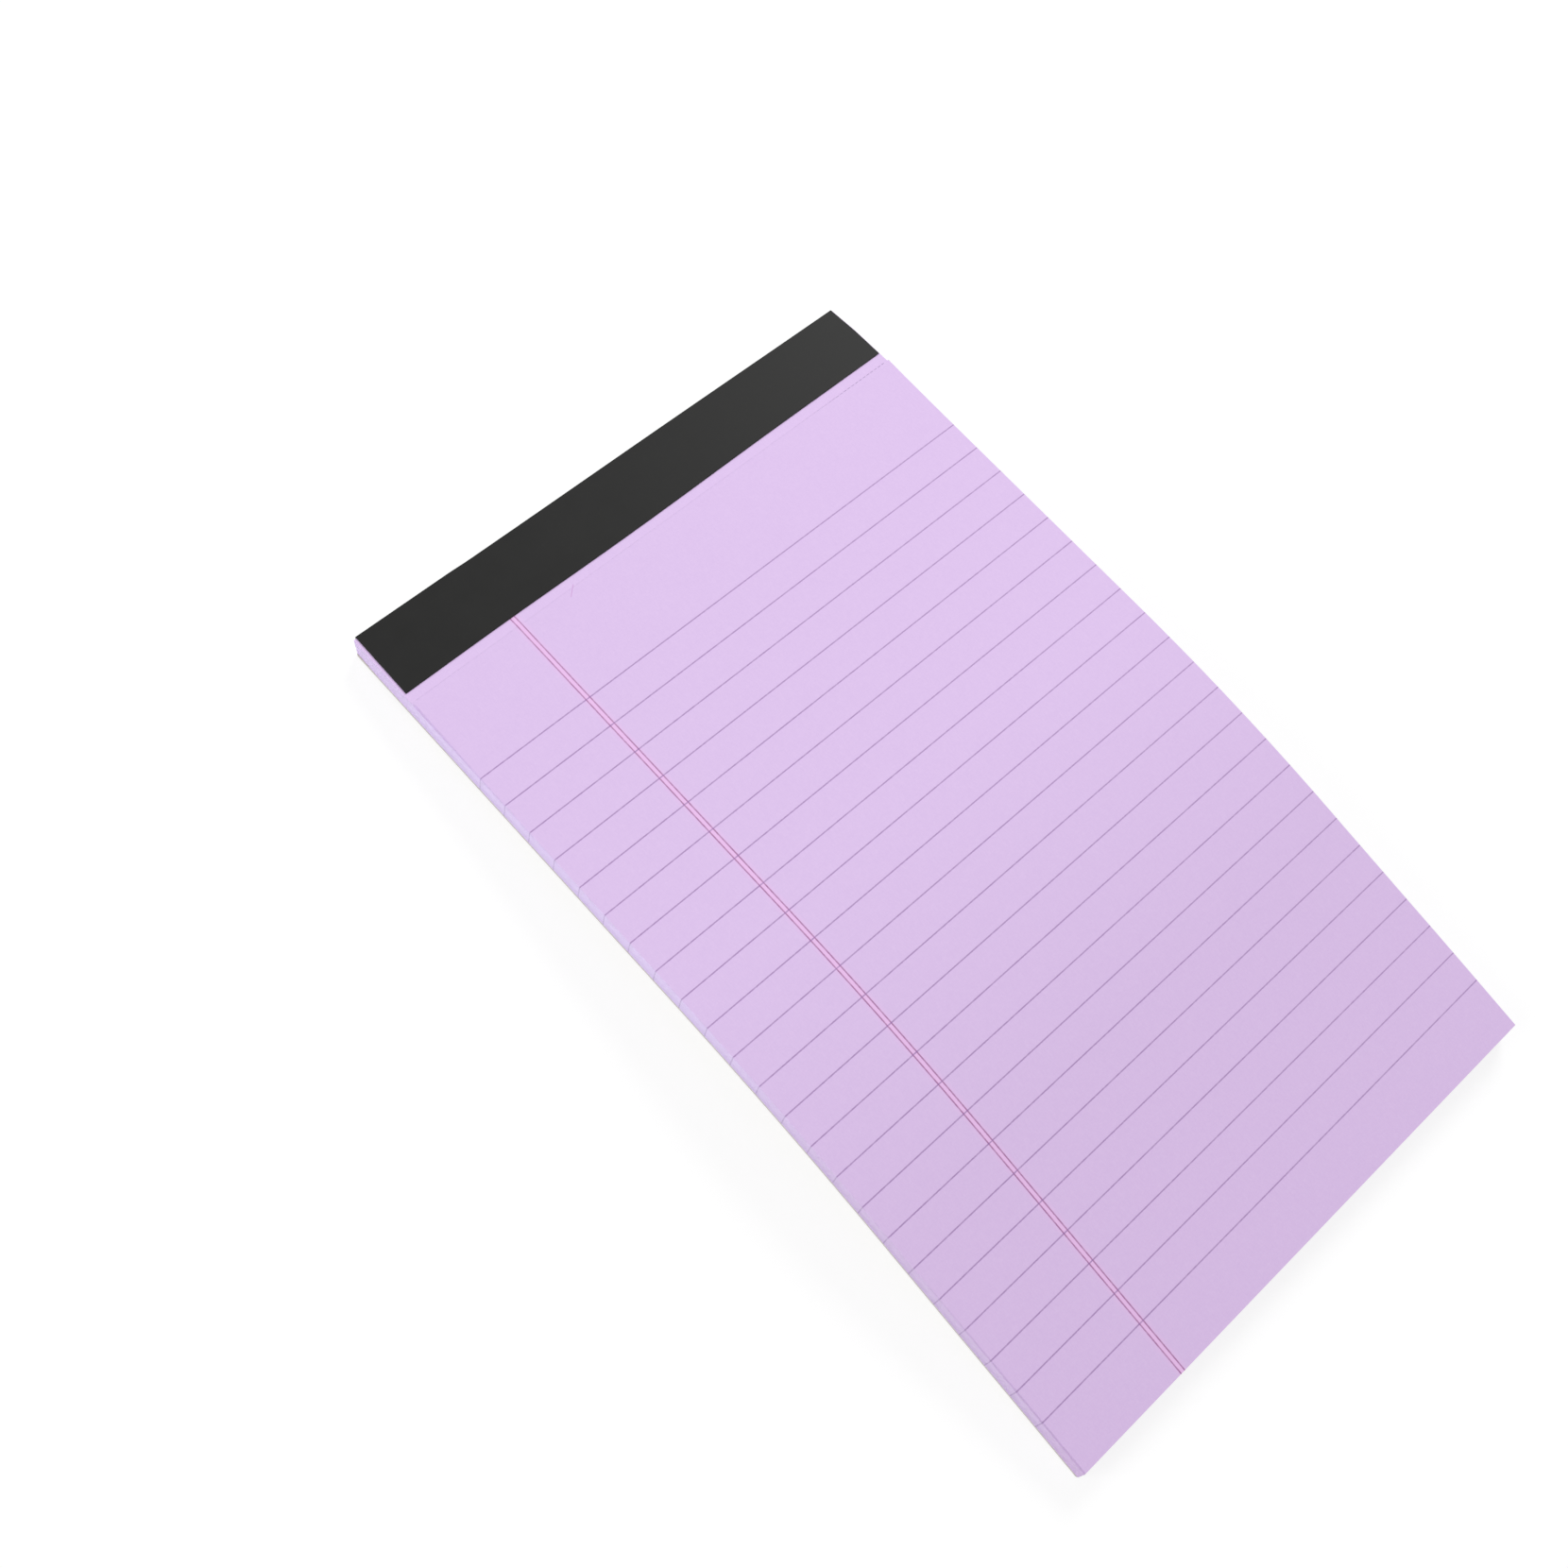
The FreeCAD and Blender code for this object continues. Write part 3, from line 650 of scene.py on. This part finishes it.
def sheet_face(tree, flat, across, along, fibre):
    """A sheet's face without its print: lilac, speckled, paled by a painted sheen near the head, and pinker
    between and beside the margin lines.
    """
    # Painted sheen: the face is paler towards the head, as a white reflection would leave it, and more
    # saturated towards the foot.
    painted_sheen_fade = smooth_step(tree, along, 90 * MM, 190 * MM)
    light = mix_colours(tree, painted_sheen_fade, (0.782, 0.588, 0.909, 1), (0.786, 0.571, 0.904, 1))
    lilac = mix_colours(tree, fibre["Cloud"], (0.762, 0.567, 0.890, 1), light)
    speckles = smooth_step(tree, fibre["Fibre"], 0.35, 0.7, end=0.5)
    speckled = mix_colours(tree, speckles, lilac, (0.84, 0.645, 0.95, 1))
    fibred = mix_colours(tree, stray_fibre(tree, flat), speckled, (0.69, 0.40, 0.76, 1))
    from_margin = math_node(tree, "ABSOLUTE", math_node(tree, "SUBTRACT", across, MARGIN_MIDDLE))
    between = smooth_step(tree, from_margin, 0.3 * MM, 0.75 * MM, start=0.62, end=0.0)
    beside = smooth_step(tree, from_margin, 0.5 * MM, 1.7 * MM, start=0.38, end=0.0)
    blush = math_node(tree, "ADD", between, beside)
    return mix_colours(tree, blush, fibred, (0.90, 0.575, 0.92, 1))


def sheet_sides(tree, flat, along, depth):
    """The sheets' cut edges: leaf by leaf, with painted shade that makes them greyer towards the foot,
    lighter at the top and darker low down and at both ends.
    """
    drawn_long = stretched(tree, flat, (0.003, 0.003, 1.0))
    leaves = noise_value(tree, drawn_long, scale=5200.0, detail=2.0, roughness=0.6)
    # Painted shade: the cut edges are paler towards the head and greyer and darker towards the foot.
    painted_shade_to_foot = smooth_step(tree, along, 88 * MM, 152 * MM)
    dark = mix_colours(tree, painted_shade_to_foot, (0.775, 0.69, 0.915, 1), (0.69, 0.578, 0.78, 1))
    light = mix_colours(tree, painted_shade_to_foot, (0.797, 0.712, 0.935, 1), (0.717, 0.606, 0.805, 1))
    # Painted light and shade: the cut edges are lighter at the top and darker low down, along the stub and
    # near the foot.
    painted_shade_low_down = smooth_step(tree, depth, 0.3 * MM, 4.6 * MM)
    past_stub = smooth_step(tree, along, 13 * MM, 20 * MM)
    near_foot = smooth_step(tree, along, 188 * MM, 200 * MM)
    shade = mix_colours(tree, painted_shade_low_down, (1.04, 1.035, 1.03, 1), (0.945, 0.955, 0.965, 1))
    shade = mix_colours(tree, past_stub, (0.96, 0.945, 0.95, 1), shade)
    shade = mix_colours(tree, near_foot, shade, (0.985, 0.935, 0.965, 1))
    return mix_colours(tree, 1.0, mix_colours(tree, leaves, dark, light), shade, "MULTIPLY")


def print_lines(tree, line_group, flat, across, along, cut_edge, paper):
    """The double margin and the rules over the paper, fainter on the cut edges."""
    margin = use_group(tree, line_group, {
        "Across": across, "First": MARGIN_MIDDLE - MARGIN_GAP / 2, "Pitch": MARGIN_GAP, "Last Number": 1.0,
        "Width": MARGIN_WIDTH, "Place": flat,
    })
    rules = use_group(tree, line_group, {
        "Across": along, "First": FIRST_RULE, "Pitch": RULE_PITCH, "Last Number": RULE_COUNT - 1.0,
        "Width": RULE_WIDTH, "Place": flat,
    })
    margin_along = smooth_step(tree, along, 20 * MM, 100 * MM, start=0.86, end=0.97)
    margin_side = math_node(tree, "MULTIPLY_ADD", cut_edge, -0.6, 1.0)
    margin_strength = math_node(tree, "MULTIPLY", margin_along, margin_side)
    margin_ink = math_node(tree, "MULTIPLY", margin["Ink"], margin_strength)
    margined = mix_colours(tree, margin_ink, paper, (0.41, 0.175, 0.385, 1))
    side_loss = smooth_step(tree, along, 100 * MM, 170 * MM, start=-0.58, end=-0.44)
    rule_side = math_node(tree, "MULTIPLY_ADD", cut_edge, side_loss, 0.7)
    rule_across = smooth_step(tree, across, 0.0, PAD_WIDTH, start=1.07, end=0.94)
    rule_strength = math_node(tree, "MULTIPLY", rule_side, rule_across)
    rule_ink = math_node(tree, "MULTIPLY", rules["Ink"], rule_strength)
    return mix_colours(tree, rule_ink, margined, (0.335, 0.182, 0.44, 1))


def ruled_paper_material(line_group, fibre_group):
    """Lilac writing paper with grey rules and a double pink margin."""
    material, tree, shader = start_material("ruled lilac paper")
    flat = kept_value(tree, "flat", "Vector")
    cut_edge = kept_value(tree, "cut_edge", "Fac")
    across, along, depth = add_node(tree, "SeparateXYZ", {0: flat}).outputs
    fibre = use_group(tree, fibre_group, {"Place": flat, "Scale": 1.0})
    face = sheet_face(tree, flat, across, along, fibre)
    sides = sheet_sides(tree, flat, along, depth)
    paper = mix_colours(tree, cut_edge, face, sides)
    printed = print_lines(tree, line_group, flat, across, along, cut_edge, paper)
    tree.links.new(printed, shader.inputs["Base Color"])
    rough = math_node(tree, "MULTIPLY_ADD", fibre["Fibre"], 0.16, 0.76)
    tree.links.new(rough, shader.inputs["Roughness"])
    shader.inputs["Specular IOR Level"].default_value = 0.25
    bump(tree, shader, fibre["Height"], strength=0.35, distance=0.02 * MM)
    return material


def chipboard_material(fibre_group):
    """Grey-beige board of felted waste paper, with darker and paler flecks."""
    material, tree, shader = start_material("grey chipboard")
    flat = kept_value(tree, "flat", "Vector")
    cut_edge = kept_value(tree, "cut_edge", "Fac")
    fibre = use_group(tree, fibre_group, {"Place": flat, "Scale": 0.55})
    base = mix_colours(tree, fibre["Cloud"], (0.40, 0.36, 0.31, 1), (0.48, 0.435, 0.38, 1))
    pale = smooth_step(tree, fibre["Fibre"], 0.52, 0.68, end=0.55)
    light = mix_colours(tree, pale, base, (0.60, 0.56, 0.50, 1))
    drawn_along = stretched(tree, flat, (1.0, 0.5, 1.0))
    flecks = noise_value(tree, drawn_along, scale=1500.0, detail=2.0, roughness=0.4)
    specks = smooth_step(tree, flecks, 0.68, 0.76, end=0.6)
    dark = mix_colours(tree, specks, light, (0.16, 0.14, 0.13, 1))
    drawn_long = stretched(tree, flat, (0.05, 0.05, 1.0))
    plies = noise_value(tree, drawn_long, scale=9000.0, detail=3.0)
    seams = smooth_step(tree, plies, 0.45, 0.7, end=0.3)
    layered = mix_colours(tree, seams, dark, (0.28, 0.25, 0.21, 1))
    pale_edge = mix_colours(tree, math_node(tree, "MULTIPLY", cut_edge, 0.6), layered, (0.66, 0.62, 0.62, 1))
    tree.links.new(pale_edge, shader.inputs["Base Color"])
    rough = math_node(tree, "MULTIPLY_ADD", fibre["Fibre"], 0.2, 0.72)
    tree.links.new(rough, shader.inputs["Roughness"])
    shader.inputs["Specular IOR Level"].default_value = 0.25
    bump(tree, shader, fibre["Height"], strength=0.5, distance=0.05 * MM)
    return material


def tape_material(fibre_group):
    """Black calendered paper tape with a satin face."""
    material, tree, shader = start_material("black satin tape")
    place = add_node(tree, "TexCoord").outputs["Object"]
    fibre = use_group(tree, fibre_group, {"Place": place, "Scale": 0.8})
    black = mix_colours(tree, fibre["Cloud"], (0.020, 0.020, 0.0195, 1), (0.025, 0.025, 0.0245, 1))
    flecks = smooth_step(tree, fibre["Fibre"], 0.55, 0.75, end=0.5)
    flecked = mix_colours(tree, flecks, black, (0.03, 0.03, 0.0295, 1))
    tree.links.new(flecked, shader.inputs["Base Color"])
    rough = math_node(tree, "MULTIPLY_ADD", fibre["Cloud"], 0.08, 0.42)
    tree.links.new(rough, shader.inputs["Roughness"])
    shader.inputs["Specular IOR Level"].default_value = 0.12
    bump(tree, shader, fibre["Height"], strength=0.3, distance=0.02 * MM)
    return material


def wire_material(fibre_group):
    """Galvanised stitching wire, drawn bright with dull streaks."""
    material, tree, shader = start_material("galvanised wire")
    place = add_node(tree, "TexCoord").outputs["Object"]
    fibre = use_group(tree, fibre_group, {"Place": place, "Scale": 2.0})
    zinc = mix_colours(tree, fibre["Cloud"], (0.50, 0.51, 0.53, 1), (0.66, 0.67, 0.69, 1))
    tree.links.new(zinc, shader.inputs["Base Color"])
    rough = math_node(tree, "MULTIPLY_ADD", fibre["Fibre"], 0.3, 0.25)
    tree.links.new(rough, shader.inputs["Roughness"])
    shader.inputs["Metallic"].default_value = 1.0
    bump(tree, shader, fibre["Height"], strength=0.2, distance=0.01 * MM)
    return material


def floor_material():
    """A pale floor, white where nothing shades it and seen through from below."""
    material, tree, shader = start_material("pale floor")
    path = add_node(tree, "LightPath").outputs
    seen = math_node(tree, "MAXIMUM", path["Is Camera Ray"], path["Is Glossy Ray"])
    seen = math_node(tree, "MAXIMUM", seen, path["Is Transmission Ray"])
    colour = mix_colours(tree, seen, (0.8, 0.8, 0.8, 1), (0.24, 0.24, 0.24, 1))
    tree.links.new(colour, shader.inputs["Base Color"])
    shader.inputs["Roughness"].default_value = 0.9
    shader.inputs["Specular IOR Level"].default_value = 0.1
    shader.inputs["Emission Color"].default_value = (1, 1, 1, 1)
    place = add_node(tree, "TexCoord").outputs["Object"]
    from_middle = add_node(tree, "VectorMath", {0: place}, operation="LENGTH").outputs["Value"]
    glow = smooth_step(tree, from_middle, 0.3, 0.8, start=0.81, end=1.0)
    tree.links.new(math_node(tree, "MULTIPLY", seen, glow), shader.inputs["Emission Strength"])
    back = add_node(tree, "NewGeometry").outputs["Backfacing"]
    unseen = math_node(tree, "MAXIMUM", back, path["Is Shadow Ray"])
    clear = add_node(tree, "BsdfTransparent")
    choice = add_node(tree, "MixShader", {0: unseen, 1: shader.outputs[0], 2: clear.outputs[0]})
    tree.links.new(choice.outputs[0], tree.get_output_node("ALL").inputs["Surface"])
    return material


def make_floor():
    """A round floor under the pad, for the picture only."""
    bm = bmesh.new()
    bmesh.ops.create_circle(bm, cap_ends=True, segments=96, radius=FLOOR_RADIUS)
    mesh = bpy.data.meshes.new("floor")
    bm.to_mesh(mesh)
    bm.free()
    mesh.materials.append(floor_material())
    floor = bpy.data.objects.new("floor", mesh)
    floor.location.z = -FLOOR_DROP
    bpy.context.scene.collection.objects.link(floor)


def soft_light(name, place, size, power):
    """A round soft light that shines on the pad."""
    data = bpy.data.lights.new(name, "AREA")
    data.shape = "DISK"
    data.size = size
    data.energy = power
    lamp = bpy.data.objects.new(name, data)
    lamp.location = place
    lamp.rotation_euler = (-Vector(place)).to_track_quat("-Z", "Y").to_euler()
    bpy.context.scene.collection.objects.link(lamp)


def light_studio():
    """A plain pale room, seen as white, with a key light, a fill light and one from below."""
    world = bpy.data.worlds.new("studio")
    world.use_nodes = True
    tree = world.node_tree
    tree.nodes.clear()
    path = add_node(tree, "LightPath").outputs
    room = add_node(tree, "Background", {"Color": (1, 1, 1, 1), "Strength": 0.42})
    white = add_node(tree, "Background", {"Color": (1, 1, 1, 1), "Strength": 1.0})
    choice = add_node(tree, "MixShader", {0: path["Is Camera Ray"], 1: room.outputs[0], 2: white.outputs[0]})
    add_node(tree, "OutputWorld", {"Surface": choice.outputs[0]})
    bpy.context.scene.world = world
    soft_light("key", (1.08, 0.66, 0.86), size=0.7, power=12.9)
    soft_light("fill", (-1.7, 0.7, 0.76), size=1.6, power=22.3)
    soft_light("under light", (0.1, -0.2, -0.9), size=1.2, power=9)


def set_camera():
    """The photograph's view, turned a little about its own axis."""
    place = Vector((-173.20, -30.19, 387.66)) * MM
    aim = Vector((-17.98, 28.61, 6.0)) * MM
    roll = math.radians(28.743)
    view = (aim - place).normalized()
    level = view.cross(Vector((0, 0, 1))).normalized()
    upright = level.cross(view)
    right = level * math.cos(roll) + upright * math.sin(roll)
    up = right.cross(view)
    data = bpy.data.cameras.new("camera")
    data.angle = math.radians(39.92)
    data.clip_start = 10 * MM
    camera = bpy.data.objects.new("camera", data)
    camera.matrix_world = Matrix.Translation(place) @ Matrix((right, up, -view)).transposed().to_4x4()
    bpy.context.scene.collection.objects.link(camera)
    bpy.context.scene.camera = camera


bpy.context.scene.view_settings.view_transform = "Standard"
set_camera()
make_floor()
light_studio()

printed_line = printed_line_group()
paper_fibre = paper_fibre_group()
ruled_sheets = make_sheets(ruled_paper_material(printed_line, paper_fibre))
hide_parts("page_block")
chipboard_back = make_board(chipboard_material(paper_fibre))
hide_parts("backing_board")
head_tape = make_tape(tape_material(paper_fibre))
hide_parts("binding_tape")
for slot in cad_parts["staples"].material_slots:
    slot.material = wire_material(paper_fibre)
